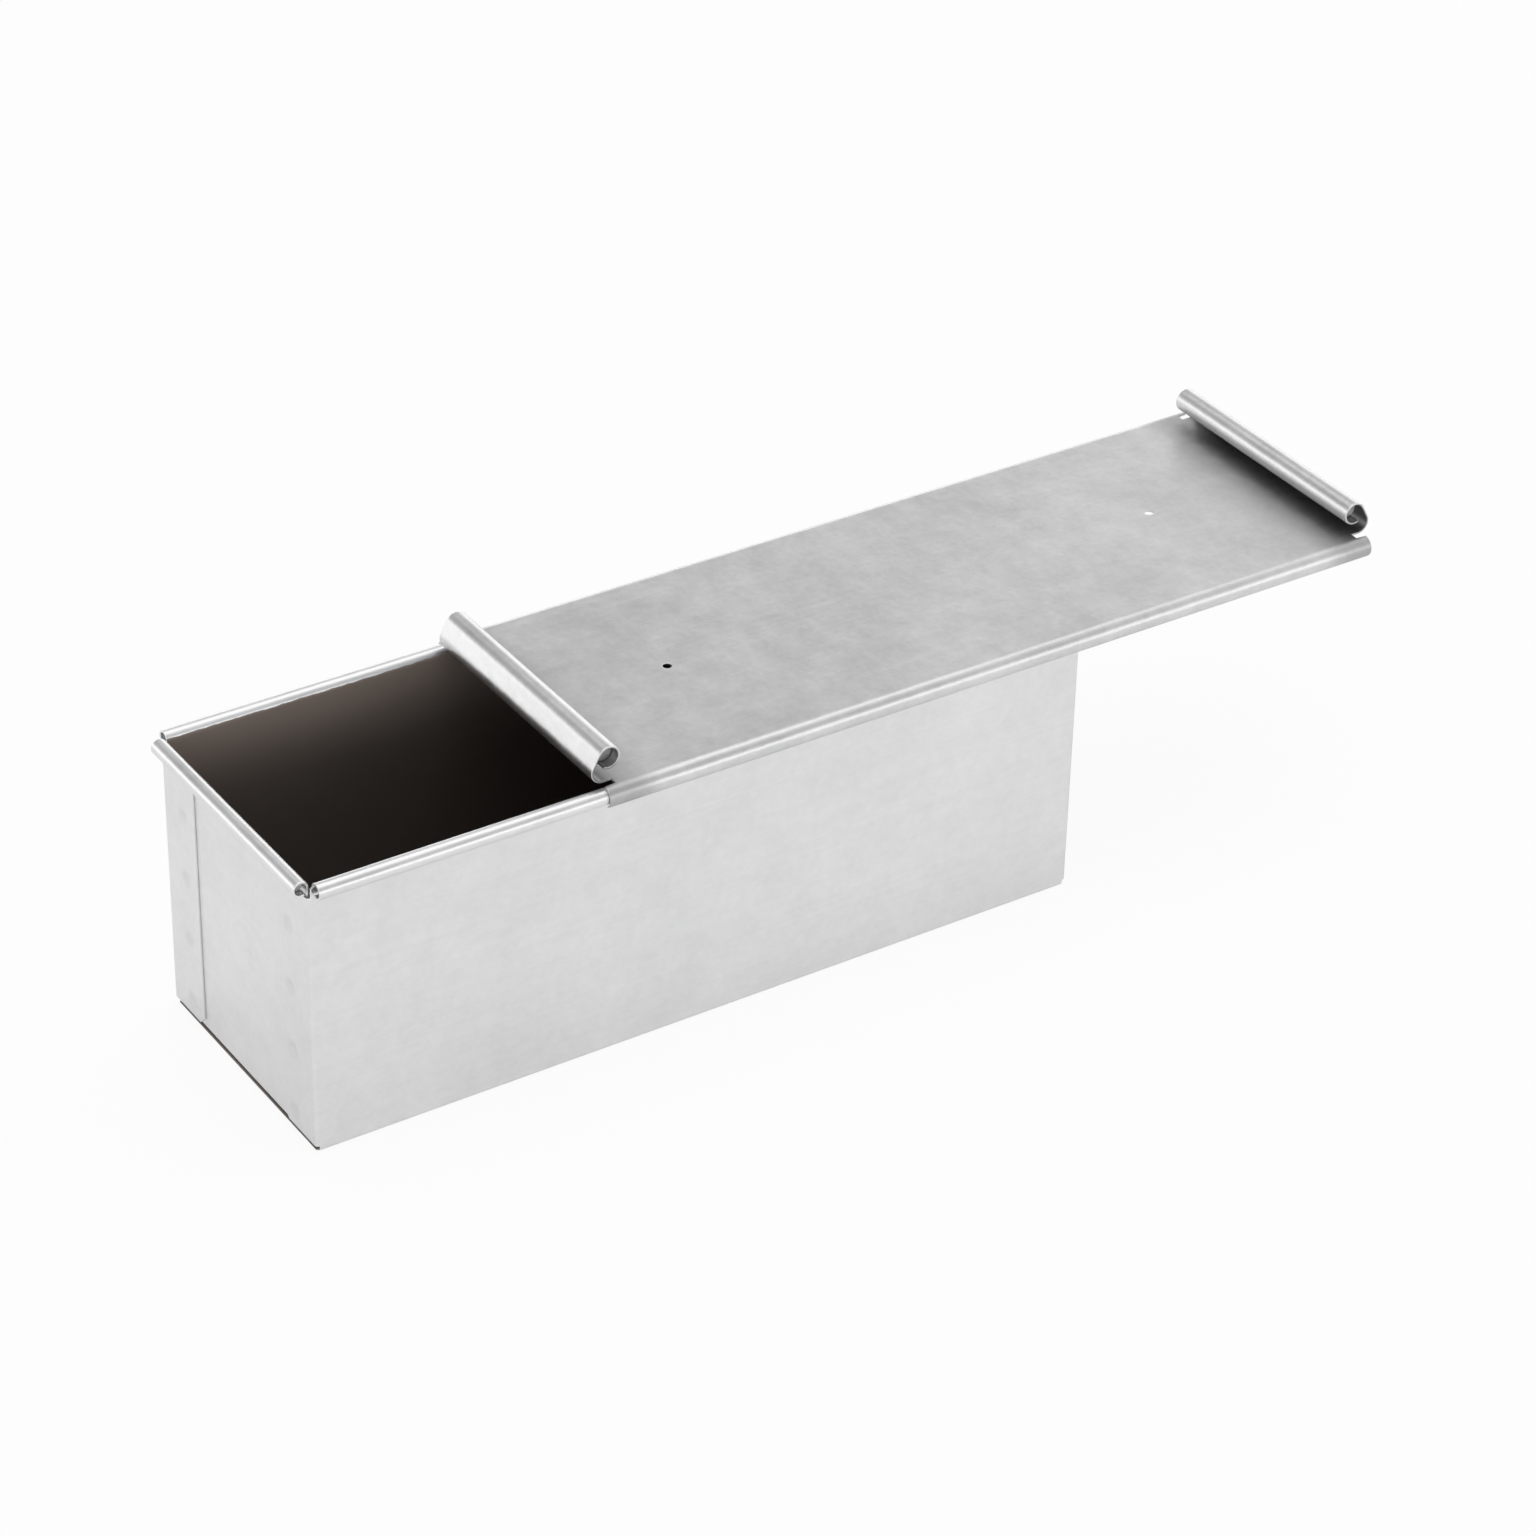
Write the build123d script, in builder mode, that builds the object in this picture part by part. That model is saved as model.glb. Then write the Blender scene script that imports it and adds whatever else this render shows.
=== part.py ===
"""Pullman loaf pan with a sliding lid, in millimetres.

The origin is the centre of the floor's underside, +X runs along the pan towards the end over which the
lid is drawn, and +Z is up. The lid stands partly drawn, as it does in the photograph.
"""
from build123d import *
from math import cos, radians, sin
import os

# Sheet metal shared by the pan and the lid
sheet = 0.8
bend_inner = 1.2
bend_outer = bend_inner + sheet
cut_overrun = 5.0

# Baking space and overall height of the pan
inner_length = 300.0
inner_width = 100.0
pan_height = 107.5
inner_x = inner_length / 2
inner_y = inner_width / 2
outer_x = inner_x + sheet
outer_y = inner_y + sheet

# Rims, rolled outward round a wire
rim_wire_diameter = 4.2
wire_clearance = 0.05
rim_roll_sweep = 300.0
rim_corner_gap = 0.5
rim_wire_recess = 2.5
rim_roll_inner = rim_wire_diameter / 2 + wire_clearance
rim_roll_outer = rim_roll_inner + sheet
rim_roll_z = pan_height - rim_roll_outer
long_roll_y = inner_y + rim_roll_outer
end_roll_x = inner_x + rim_roll_outer
long_roll_length = inner_length - 2 * rim_corner_gap
end_roll_length = inner_width - 2 * rim_corner_gap

# Corner flaps, folded from the long walls over the outside of the end walls
flap_width = 22.0
flap_bend_inner = 0.6
flap_bend_outer = flap_bend_inner + sheet
flap_floor_gap = 0.5
flap_roll_gap = 0.6
flap_corner_cut = 3.0
flap_x = outer_x + sheet
flap_free_y = outer_y - flap_width
flap_bottom = bend_outer + flap_floor_gap
flap_top = rim_roll_z - rim_roll_outer - flap_roll_gap
long_wall_end_x = outer_x - flap_bend_inner

# Feet of the end walls, turned inward on the floor
foot_length = 12.0
foot_side_gap = 0.3
foot_half_width = inner_y - bend_inner - foot_side_gap
foot_notch_top = sheet + bend_outer

# Dimples left by the spot welds
weld_diameter = 4.0
weld_depth = 0.2
weld_taper = 30.0
flap_weld_inset = 14.0
flap_weld_lowest = 9.0
flap_weld_pitch = 25.0
flap_weld_rows = 4
foot_weld_pitch = 32.0
foot_weld_rows = 3

# Lid: a flat sheet whose long sides curl down round the long rims
lid_gap = 0.3
lid_length = 318.0
lid_drawn = 116.5
curl_sweep = 150.0
lid_half = lid_length / 2
lid_underside = pan_height + lid_gap
lid_top = lid_underside + sheet
curl_inner = rim_roll_outer + lid_gap
curl_outer = curl_inner + sheet

# Raised lid ends, turned up, leant inward and rolled round a thicker wire
lid_wire_diameter = 7.0
lid_roll_rise = 8.2
lid_roll_inset = 3.4
lid_end_lean = 28.0
lid_roll_finish = 300.0
lid_bend_inner = 3.7
lid_notch_length = 4.0
lid_wire_recess = 4.0
lid_sheet_end = lid_half - lid_notch_length
lid_end_width = inner_width
lid_vent_diameter = 3.2
lid_vent_inset = 57.0
lid_roll_inner = lid_wire_diameter / 2 + wire_clearance
lid_roll_outer = lid_roll_inner + sheet
lid_roll_x = lid_half - lid_roll_inset
lid_roll_z = lid_top + lid_roll_rise
wire_end_chamfer = 0.4


class RolledEdge(BaseSketchObject):
    """Section of a sheet edge rolled round a wire: an open ring as thick as the sheet."""

    def __init__(self, inner_radius, outer_radius, start_angle, sweep_angle, mode=Mode.ADD):
        with BuildSketch() as section:
            with BuildLine():
                outer = CenterArc((0, 0), outer_radius, start_angle, sweep_angle)
                inner = CenterArc((0, 0), inner_radius, start_angle, sweep_angle)
                Line(outer @ 0, inner @ 0)
                Line(outer @ 1, inner @ 1)
            make_face()
        super().__init__(section.sketch, align=None, mode=mode)


class BentSheet(BaseSketchObject):
    """Section of bent sheet between its outside line and its inside line, with concentric bends."""

    def __init__(self, outside, inside, inside_radius, mode=Mode.ADD):
        with BuildSketch() as section:
            with BuildLine():
                outer = FilletPolyline(*outside, radius=inside_radius + sheet)
                inner = FilletPolyline(*inside, radius=inside_radius)
                Line(outer @ 0, inner @ 0)
                Line(outer @ 1, inner @ 1)
            make_face()
        super().__init__(section.sketch, align=None, mode=mode)


def leaning_end(level, radius):
    """Line from the lid's sheet along a level, then up a leaning face that meets a circle of the roll."""
    face_top_x = lid_roll_x + radius * cos(radians(lid_end_lean))
    face_top_z = lid_roll_z + radius * sin(radians(lid_end_lean))
    face_length = (face_top_z - level) / cos(radians(lid_end_lean))
    corner_x = face_top_x + face_length * sin(radians(lid_end_lean))
    return [(lid_sheet_end, level), (corner_x, level), (face_top_x, face_top_z)]


def straight_wire(centre, direction, diameter, length, name):
    """A straight round wire with broken edges, lying in the middle of a roll."""
    with BuildPart() as wire:
        with BuildSketch(Plane(origin=centre, z_dir=direction)):
            Circle(diameter / 2)
        extrude(amount=length / 2, both=True)
        chamfer(wire.edges().filter_by(GeomType.CIRCLE), wire_end_chamfer)
    wire.part.label = name
    export_step(wire.part, f"parts/{name}.step")


os.makedirs("parts", exist_ok=True)

# Trough: floor, long walls, long rims and corner flaps, folded from one sheet
with BuildPart() as trough:
    with BuildSketch(Plane.YZ):
        BentSheet(
            [(-outer_y, rim_roll_z), (-outer_y, 0), (outer_y, 0), (outer_y, rim_roll_z)],
            [(-inner_y, rim_roll_z), (-inner_y, sheet), (inner_y, sheet), (inner_y, rim_roll_z)],
            bend_inner,
        )
    extrude(amount=long_wall_end_x, both=True)

    with BuildSketch(Plane.XY):
        Rectangle(2 * outer_x, 2 * (outer_y - bend_outer))
    extrude(amount=sheet)

    with BuildSketch(Plane.YZ):
        with Locations((long_roll_y, rim_roll_z)):
            RolledEdge(rim_roll_inner, rim_roll_outer, 180, -rim_roll_sweep)
        mirror(about=Plane.YZ)
    extrude(amount=long_roll_length / 2, both=True)

    with BuildSketch(Plane.XY.offset(flap_bottom)):
        RectangleRounded(2 * flap_x, 2 * outer_y, flap_bend_outer)
        RectangleRounded(2 * outer_x, 2 * inner_y, flap_bend_inner, mode=Mode.SUBTRACT)
        Rectangle(2 * (flap_x + cut_overrun), 2 * flap_free_y, mode=Mode.SUBTRACT)
        Rectangle(2 * (long_wall_end_x - sheet), 2 * (outer_y + cut_overrun), mode=Mode.SUBTRACT)
    extrude(amount=flap_top - flap_bottom)

    flap_corners = (
        trough.edges()
        .filter_by(Axis.X)
        .filter_by_position(Axis.Y, -flap_free_y, flap_free_y)
        .filter_by_position(Axis.Z, flap_bottom, flap_top)
    )
    chamfer(flap_corners, flap_corner_cut)

    for end_face, inward in ((flap_x, -weld_depth), (-flap_x, weld_depth)):
        with BuildSketch(Plane.YZ.offset(end_face)):
            weld_middle_z = flap_weld_lowest + flap_weld_pitch * (flap_weld_rows - 1) / 2
            with Locations((0, weld_middle_z)):
                with GridLocations(2 * (outer_y - flap_weld_inset), flap_weld_pitch, 2, flap_weld_rows):
                    Circle(weld_diameter / 2)
        extrude(amount=inward, taper=weld_taper, mode=Mode.SUBTRACT)

    with BuildSketch(Plane.XY):
        with GridLocations(2 * (outer_x - foot_length / 2), foot_weld_pitch, 2, foot_weld_rows):
            Circle(weld_diameter / 2)
    extrude(amount=weld_depth, taper=weld_taper, mode=Mode.SUBTRACT)
trough.part.label = "trough"
export_step(trough.part, "parts/trough.step")

# Right end wall: foot on the floor, upright plate and rolled rim
with BuildPart() as right_end_wall:
    with BuildSketch(Plane.XZ):
        BentSheet(
            [(outer_x - foot_length, sheet), (outer_x, sheet), (outer_x, rim_roll_z)],
            [(outer_x - foot_length, 2 * sheet), (inner_x, 2 * sheet), (inner_x, rim_roll_z)],
            bend_inner,
        )
    extrude(amount=inner_y - flap_bend_inner, both=True)

    with BuildSketch(Plane.XY):
        with GridLocations(2 * outer_x, 2 * (foot_half_width + cut_overrun), 2, 2):
            Rectangle(2 * foot_length + cut_overrun, 2 * cut_overrun)
    extrude(amount=foot_notch_top, mode=Mode.SUBTRACT)

    with BuildSketch(Plane.XZ):
        with Locations((end_roll_x, rim_roll_z)):
            RolledEdge(rim_roll_inner, rim_roll_outer, 180, -rim_roll_sweep)
    extrude(amount=end_roll_length / 2, both=True)
right_end_wall.part.label = "right_end_wall"
export_step(right_end_wall.part, "parts/right_end_wall.step")

# Left end wall: the right one mirrored
with BuildPart() as left_end_wall:
    mirror(right_end_wall.part, about=Plane.YZ)
left_end_wall.part.label = "left_end_wall"
export_step(left_end_wall.part, "parts/left_end_wall.step")

# Wires in the four rims
long_wire_length = long_roll_length - 2 * rim_wire_recess
end_wire_length = end_roll_length - 2 * rim_wire_recess
straight_wire((0, -long_roll_y, rim_roll_z), (1, 0, 0), rim_wire_diameter, long_wire_length, "front_rim_wire")
straight_wire((0, long_roll_y, rim_roll_z), (1, 0, 0), rim_wire_diameter, long_wire_length, "back_rim_wire")
straight_wire((-end_roll_x, 0, rim_roll_z), (0, 1, 0), rim_wire_diameter, end_wire_length, "left_rim_wire")
straight_wire((end_roll_x, 0, rim_roll_z), (0, 1, 0), rim_wire_diameter, end_wire_length, "right_rim_wire")

# Lid: flat sheet with two steam vents, curled sides and raised, rolled ends
lid_lengthwise = Plane(origin=(lid_drawn, 0, 0), x_dir=(1, 0, 0), z_dir=(0, -1, 0))
with BuildPart() as lid:
    with BuildSketch(Plane.YZ.offset(lid_drawn)):
        with Locations((0, lid_underside)):
            Rectangle(2 * long_roll_y, sheet, align=(Align.CENTER, Align.MIN))
        with Locations((long_roll_y, rim_roll_z)):
            RolledEdge(curl_inner, curl_outer, 90, -curl_sweep)
        mirror(about=Plane.YZ)
    extrude(amount=lid_half, both=True)

    with BuildSketch(Plane.XY.offset(lid_underside)):
        with Locations((lid_drawn, 0)):
            with GridLocations(2 * lid_half, 0, 2, 1):
                Rectangle(2 * lid_notch_length, 2 * long_roll_y)
    extrude(amount=sheet, mode=Mode.SUBTRACT)

    with BuildSketch(lid_lengthwise):
        outside_line = leaning_end(lid_underside, lid_roll_outer)
        inside_line = leaning_end(lid_top, lid_roll_inner)
        BentSheet(outside_line, inside_line, lid_bend_inner)
        with Locations((lid_roll_x, lid_roll_z)):
            RolledEdge(lid_roll_inner, lid_roll_outer, lid_end_lean, lid_roll_finish - lid_end_lean)
        mirror(about=Plane.YZ)
    extrude(amount=lid_end_width / 2, both=True)

    with BuildSketch(Plane.XY.offset(lid_underside)):
        with Locations((lid_drawn, 0)):
            with GridLocations(2 * (lid_half - lid_vent_inset), 0, 2, 1):
                Circle(lid_vent_diameter / 2)
    extrude(amount=sheet, mode=Mode.SUBTRACT)
lid.part.label = "lid"
export_step(lid.part, "parts/lid.step")

# Wires in the lid's two raised rolls
lid_wire_length = lid_end_width - 2 * lid_wire_recess
left_lid_wire_x = lid_drawn - lid_roll_x
right_lid_wire_x = lid_drawn + lid_roll_x
straight_wire((left_lid_wire_x, 0, lid_roll_z), (0, 1, 0), lid_wire_diameter, lid_wire_length, "left_lid_wire")
straight_wire((right_lid_wire_x, 0, lid_roll_z), (0, 1, 0), lid_wire_diameter, lid_wire_length, "right_lid_wire")
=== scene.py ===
"""Dresses the pullman loaf pan: fine sheet metal, procedural finishes, a pale studio and the camera.

Lengths are metres in the part's own frame: the origin is the middle of the floor's underside, X runs
along the pan towards the end over which the lid is drawn, and Z is up.
"""

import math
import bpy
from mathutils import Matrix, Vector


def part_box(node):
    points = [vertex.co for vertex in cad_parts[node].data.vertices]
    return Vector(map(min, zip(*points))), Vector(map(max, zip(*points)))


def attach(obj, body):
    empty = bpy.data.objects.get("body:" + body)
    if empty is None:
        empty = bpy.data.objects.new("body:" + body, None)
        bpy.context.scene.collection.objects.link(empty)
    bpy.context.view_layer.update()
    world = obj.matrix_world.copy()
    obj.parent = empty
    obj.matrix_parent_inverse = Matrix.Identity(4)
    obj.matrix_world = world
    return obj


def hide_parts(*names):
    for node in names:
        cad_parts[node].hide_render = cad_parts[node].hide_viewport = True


bl_info = {
    "name": "Loaf Pan Dressing",
    "version": (1, 0, 0),
    "blender": (4, 5, 0),
    "location": "3D View > Sidebar > Loaf Pan",
    "description": "Builds the folded sheets, finishes and studio of a pullman loaf pan round its fixed frame",
    "category": "Object",
}

from types import SimpleNamespace

import bmesh
import bpy
import numpy as np
from mathutils import Euler

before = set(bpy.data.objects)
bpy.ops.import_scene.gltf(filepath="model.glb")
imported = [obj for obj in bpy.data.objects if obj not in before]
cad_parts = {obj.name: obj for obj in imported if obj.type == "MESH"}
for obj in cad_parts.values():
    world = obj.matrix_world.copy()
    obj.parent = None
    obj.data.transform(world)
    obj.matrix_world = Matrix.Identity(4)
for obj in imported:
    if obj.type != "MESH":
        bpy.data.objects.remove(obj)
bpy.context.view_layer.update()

RAYS = ("Camera", "Glossy", "Transmission")

MILLIMETRE = 0.001
TINY = 1e-7  # within this, two places on a section are the same
MERGE_DISTANCE = 0.002 * MILLIMETRE  # within this, the points of neighbouring shells become one
FAR = 20 * MILLIMETRE  # stands for any distance at which a mark has no effect
END_MARGIN = 1.2 * MILLIMETRE  # from a section's end to its first plain station
EDGE_RINGS = (0, 0.15, 0.4, 1.0, 2.5)  # in radii of the rounded edge
RING_CLEARANCE = 1.3  # plain stations start past this many times the last ring's distance
WAVES, SHORTEST_WAVE = 5, 0.35  # how many make a ripple, and the shortest as a share of the longest
FOLD_STEPS, FLAP_STEPS, LID_FOLD_STEPS = 10, 8, 14  # steps round the folds
ROLL_STEPS, CURL_STEPS, LID_ROLL_STEPS = 48, 30, 56  # steps round the rolled edges

# What many properties share
LENGTH = {"unit": "LENGTH", "precision": 5}
ANGLE = {"subtype": "ANGLE", "unit": "ROTATION"}
SHARE = {"subtype": "FACTOR", "min": 0, "max": 1}


class SheetSizes(bpy.types.PropertyGroup):
    """Sizes of the folded sheets that the frame's boxes don't give"""

    sheet: bpy.props.FloatProperty(
        name="Sheet", description="Thickness of the steel sheet", default=0.0008, **LENGTH
    )
    edge_round: bpy.props.FloatProperty(
        name="Edge round", description="Radius of the cut edges", default=0.0002, **LENGTH
    )
    floor_bend: bpy.props.FloatProperty(
        name="Floor bend", description="Inner radius of the floor's folds", default=0.0012, **LENGTH
    )
    wire_clearance: bpy.props.FloatProperty(
        name="Wire clearance", description="Gap round each wire", default=0.00005, **LENGTH
    )
    roll_sweep: bpy.props.FloatProperty(
        name="Roll sweep", description="Angle by which a rim closes round its wire", default=math.radians(300), **ANGLE
    )
    corner_gap: bpy.props.FloatProperty(
        name="Corner gap", description="From a roll's end to the inside of the pan's corner", default=0.0005, **LENGTH
    )
    flap_width: bpy.props.FloatProperty(
        name="Flap width", description="Width of a corner flap over the end wall", default=0.022, **LENGTH
    )
    flap_bend: bpy.props.FloatProperty(
        name="Flap bend", description="Inner radius of a flap's fold", default=0.0006, **LENGTH
    )
    flap_floor_gap: bpy.props.FloatProperty(
        name="Flap floor gap", description="From the floor's fold to a flap", default=0.0005, **LENGTH
    )
    flap_roll_gap: bpy.props.FloatProperty(
        name="Flap roll gap", description="From a flap to the rim above it", default=0.0006, **LENGTH
    )
    flap_corner: bpy.props.FloatProperty(
        name="Flap corner", description="Cut across a flap's free corners", default=0.003, **LENGTH
    )
    foot_length: bpy.props.FloatProperty(
        name="Foot length", description="How far an end wall's foot lies on the floor", default=0.012, **LENGTH
    )
    foot_side_gap: bpy.props.FloatProperty(
        name="Foot side gap", description="From a foot to the floor's fold", default=0.0003, **LENGTH
    )
    lid_gap: bpy.props.FloatProperty(
        name="Lid gap", description="Running clearance of the lid on the rims", default=0.0003, **LENGTH
    )
    curl_sweep: bpy.props.FloatProperty(
        name="Curl sweep", description="Angle by which the lid's sides reach round the rims",
        default=math.radians(150), **ANGLE,
    )
    lid_length: bpy.props.FloatProperty(
        name="Lid length", description="Length of the lid's curled sides", default=0.318, **LENGTH
    )
    lid_bend: bpy.props.FloatProperty(
        name="Lid bend", description="Inner radius of the fold below a raised lid end", default=0.0037, **LENGTH
    )
    lid_lean: bpy.props.FloatProperty(
        name="Lid lean", description="Angle by which a raised lid end leans inward", default=math.radians(28), **ANGLE
    )
    lid_notch: bpy.props.FloatProperty(
        name="Lid notch", description="Depth of the notches beside the raised lid ends", default=0.004, **LENGTH
    )
    vent: bpy.props.FloatProperty(
        name="Vent", description="Diameter of the lid's two steam vents", default=0.0032, **LENGTH
    )
    vent_inset: bpy.props.FloatProperty(
        name="Vent inset", description="From a lid end to the middle of its vent", default=0.057, **LENGTH
    )
    weld: bpy.props.FloatProperty(
        name="Weld", description="Diameter of a spot weld's dimple", default=0.004, **LENGTH
    )
    weld_depth: bpy.props.FloatProperty(
        name="Weld depth", description="Depth of a spot weld's dimple", default=0.0002, **LENGTH
    )
    weld_inset: bpy.props.FloatProperty(
        name="Weld inset", description="From the pan's side to its column of welds", default=0.014, **LENGTH
    )
    weld_lowest: bpy.props.FloatProperty(
        name="Lowest weld", description="Height of the lowest weld of a flap", default=0.009, **LENGTH
    )
    weld_pitch: bpy.props.FloatProperty(
        name="Weld pitch", description="Step between the welds of a flap", default=0.025, **LENGTH
    )
    weld_rows: bpy.props.IntProperty(name="Weld rows", description="Number of welds in a flap", default=4, min=1)
    foot_weld_pitch: bpy.props.FloatProperty(
        name="Foot weld pitch", description="Step between the welds of a foot", default=0.032, **LENGTH
    )
    wall_wave: bpy.props.FloatProperty(
        name="Wall wave", description="How far a long wall strays from flat", default=0.00022, **LENGTH
    )
    lid_wave: bpy.props.FloatProperty(
        name="Lid wave", description="How far the lid's sheet rises from flat", default=0.0003, **LENGTH
    )
    roll_wave: bpy.props.FloatProperty(
        name="Roll wave", description="How far a roll strays from straight", default=0.00004, **LENGTH
    )


class FinishColours(bpy.types.PropertyGroup):
    """Colours and polish of the steel, its coating and the wires"""

    pan_steel: bpy.props.FloatVectorProperty(
        name="Pan steel", description="Tone of the pan's bare sheet", default=(0.80, 0.80, 0.805), subtype="COLOR"
    )
    lid_steel: bpy.props.FloatVectorProperty(
        name="Lid steel", description="Tone of the lid's bare sheet", default=(0.70, 0.70, 0.705), subtype="COLOR"
    )
    wire_steel: bpy.props.FloatVectorProperty(
        name="Wire steel", description="Tone of the stiffening wires", default=(0.45, 0.45, 0.46), subtype="COLOR"
    )
    coating: bpy.props.FloatVectorProperty(
        name="Coating", description="Tone of the non-stick coating", default=(0.125, 0.104, 0.092), subtype="COLOR"
    )
    satin: bpy.props.FloatProperty(
        name="Satin", description="Roughness of the bare sheet", default=0.36, **SHARE
    )
    lid_mottle: bpy.props.FloatProperty(
        name="Lid mottle", description="Strength of the lid's mottling, where 1 is the pan's", default=1.8, min=0
    )
    coating_satin: bpy.props.FloatProperty(
        name="Coating satin", description="Roughness of the coating", default=0.42, **SHARE
    )
    coating_reach: bpy.props.FloatProperty(
        name="Coating reach", description="Angle round the rim at which the coating ends", default=math.radians(22),
        **ANGLE,
    )


class StudioSettings(bpy.types.PropertyGroup):
    """The camera, the surroundings, the floor and the lamp"""

    camera_place: bpy.props.FloatVectorProperty(
        name="Camera place", description="Where the camera stands", default=(-0.725107, -1.17392, 0.960461),
        subtype="TRANSLATION", precision=5,
    )
    camera_turn: bpy.props.FloatVectorProperty(
        name="Camera turn", description="The camera's XYZ Euler angles", default=(0.999150, -0.019650, -0.574847),
        subtype="EULER", precision=5,
    )
    lens: bpy.props.FloatProperty(
        name="Lens", description="Focal length on a 36 mm wide frame", default=112.288, unit="CAMERA"
    )
    wall_level: bpy.props.FloatProperty(
        name="Wall level", description="Brightness of the upper studio walls", default=0.33, min=0
    )
    horizon_level: bpy.props.FloatProperty(
        name="Horizon level", description="Brightness of the white sweep low down all round", default=1.75, min=0
    )
    right_level: bpy.props.FloatProperty(
        name="Right level", description="Added brightness of the white wall to the right", default=0.6, min=0
    )
    ceiling_level: bpy.props.FloatProperty(
        name="Ceiling level", description="Added brightness of the ceiling", default=0.15, min=0
    )
    floor_tone: bpy.props.FloatProperty(
        name="Floor tone", description="Whiteness of the floor", default=0.95, **SHARE
    )
    floor_glow: bpy.props.FloatProperty(
        name="Floor glow", description="Share of the floor that the camera sees as plain white", default=0.9, **SHARE
    )
    mirrored_glow: bpy.props.FloatProperty(
        name="Mirrored glow", description="Share of the floor that the metal mirrors as plain white", default=0.3,
        **SHARE,
    )
    key_lamp: bpy.props.FloatProperty(
        name="Key lamp", description="Power of the wide lamp overhead", default=18.0, min=0, unit="POWER"
    )


def smooth_step(distance, width):
    """3 t squared minus 2 t cubed, where t is distance over width held between 0 and 1."""
    share = np.clip(distance / width, 0, 1)
    return share * share * (3 - 2 * share)


def within(place, low, high, fade):
    """1 between low and high and 0 outside, with a smooth step over the fade inside each end. The place is in
    metres and the other three are in millimetres."""
    return smooth_step(np.minimum(place - low * MILLIMETRE, high * MILLIMETRE - place), fade * MILLIMETRE)


def ripple(across, along, longest, seed):
    """Mean of some cosine waves over two coordinates, each with its own seeded heading, phase and length. A
    coordinate that is shifted by the side gives each side of the pan waves of its own."""
    draw = np.random.default_rng(seed)
    headings = draw.uniform(0, math.pi, WAVES)
    phases = draw.uniform(0, 2 * math.pi, WAVES)
    lengths = longest * draw.uniform(SHORTEST_WAVE, 1.0, WAVES)
    waves = [
        np.cos(2 * math.pi * (across * math.cos(heading) + along * math.sin(heading)) / length + phase)
        for heading, phase, length in zip(headings, phases, lengths)
    ]
    return sum(waves) / len(waves)


def edge_rings(sizes):
    """Distances from a cut edge at which a grid has points, so that the edge can be rounded."""
    return sizes.edge_round * np.array(EDGE_RINGS)


def skin_depth(sizes, distance):
    """Half the sheet away from a cut edge, and a quarter circle down to its rounded corner at the edge."""
    radius = sizes.edge_round
    inward = radius - np.clip(distance, 0, radius)
    return sizes.sheet / 2 - radius + np.sqrt(radius**2 - inward**2)


def stations(low, high, step, dense=(), rings=None, ringed=(False, False)):
    """Places from low to high about a step apart. Each (middle, reach, fine) in dense sets them fine apart up to
    its reach from the middle, and a ringed end gets the rings' distances from it."""
    places = np.linspace(low, high, max(2, round((high - low) / step) + 1))
    for middle, reach, fine in dense:
        patch = middle + np.arange(-reach, reach + fine / 2, fine)
        places = np.concatenate([places[np.abs(places - middle) > reach + fine / 2], patch])
    if ringed[0]:
        places = np.concatenate([low + rings, places[places > low + rings[-1] * RING_CLEARANCE]])
    if ringed[1]:
        places = np.concatenate([places[places < high - rings[-1] * RING_CLEARANCE], high - rings])
    return np.unique(np.clip(places, low, high).round(9))


def run(start, end, shares, reach):
    """Straight stretch of a section: points at shares of the way, the normal to its left, and its half length
    across the section. Each row is (a, b, normal a, normal b, reach)."""
    start, end = np.array(start), np.array(end)
    way = end - start
    points = start + np.outer(shares, way)
    normal = np.array([-way[1], way[0]]) / np.hypot(*way)
    return np.hstack([points, np.tile(normal, (len(points), 1)), np.full((len(points), 1), reach)])


def bend(centre, radius, first, sweep, steps, reach):
    """Round stretch of a section about a centre: even angles from first over sweep, in radians, with the normal
    to the left of the way. The rows are those of run."""
    angles = first + sweep * np.linspace(0, 1, steps + 1)
    outward = np.stack([np.cos(angles), np.sin(angles)], axis=-1)
    points = np.array(centre) + radius * outward
    return np.hstack([points, -math.copysign(1, sweep) * outward, np.full((len(points), 1), reach)])


def joined(*stretches):
    """One section from stretches that follow each other. Each but the first leaves out its first row, which it
    shares with the one before."""
    return np.concatenate([stretches[0]] + [stretch[1:] for stretch in stretches[1:]])


def both_sides(section):
    """A section that starts on the middle line, with its mirror image before it."""
    mirrored = section[:0:-1] * np.array([-1, 1, -1, 1, 1])
    return np.concatenate([mirrored, section])


def length_along(section):
    """Distance of each row of a section from its first row, along the section."""
    steps = np.hypot(*np.diff(section[:, :2], axis=0).T)
    return np.concatenate([[0], np.cumsum(steps)])


def swept(section, core, rings, axis):
    """Carries a section along X or Y. The columns are the core places and, at both ends, the rings' distances
    in from each row's own reach. Gives the middle surface, its normals and each point's distance from the ends."""
    base = np.concatenate([rings, core, -rings[::-1]])
    side = np.concatenate([-np.ones(len(rings)), np.zeros(len(core)), np.ones(len(rings))])
    reach = section[:, 4:5]
    along = base + side * reach
    flat = np.zeros_like(along)
    a, b, normal_a, normal_b = (section[:, k : k + 1] + flat for k in range(4))
    if axis == "X":
        middle, normal = np.stack([along, a, b], axis=-1), np.stack([flat, normal_a, normal_b], axis=-1)
    else:
        middle, normal = np.stack([a, along, b], axis=-1), np.stack([normal_a, flat, normal_b], axis=-1)
    return middle, normal, reach - np.abs(along)


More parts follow.
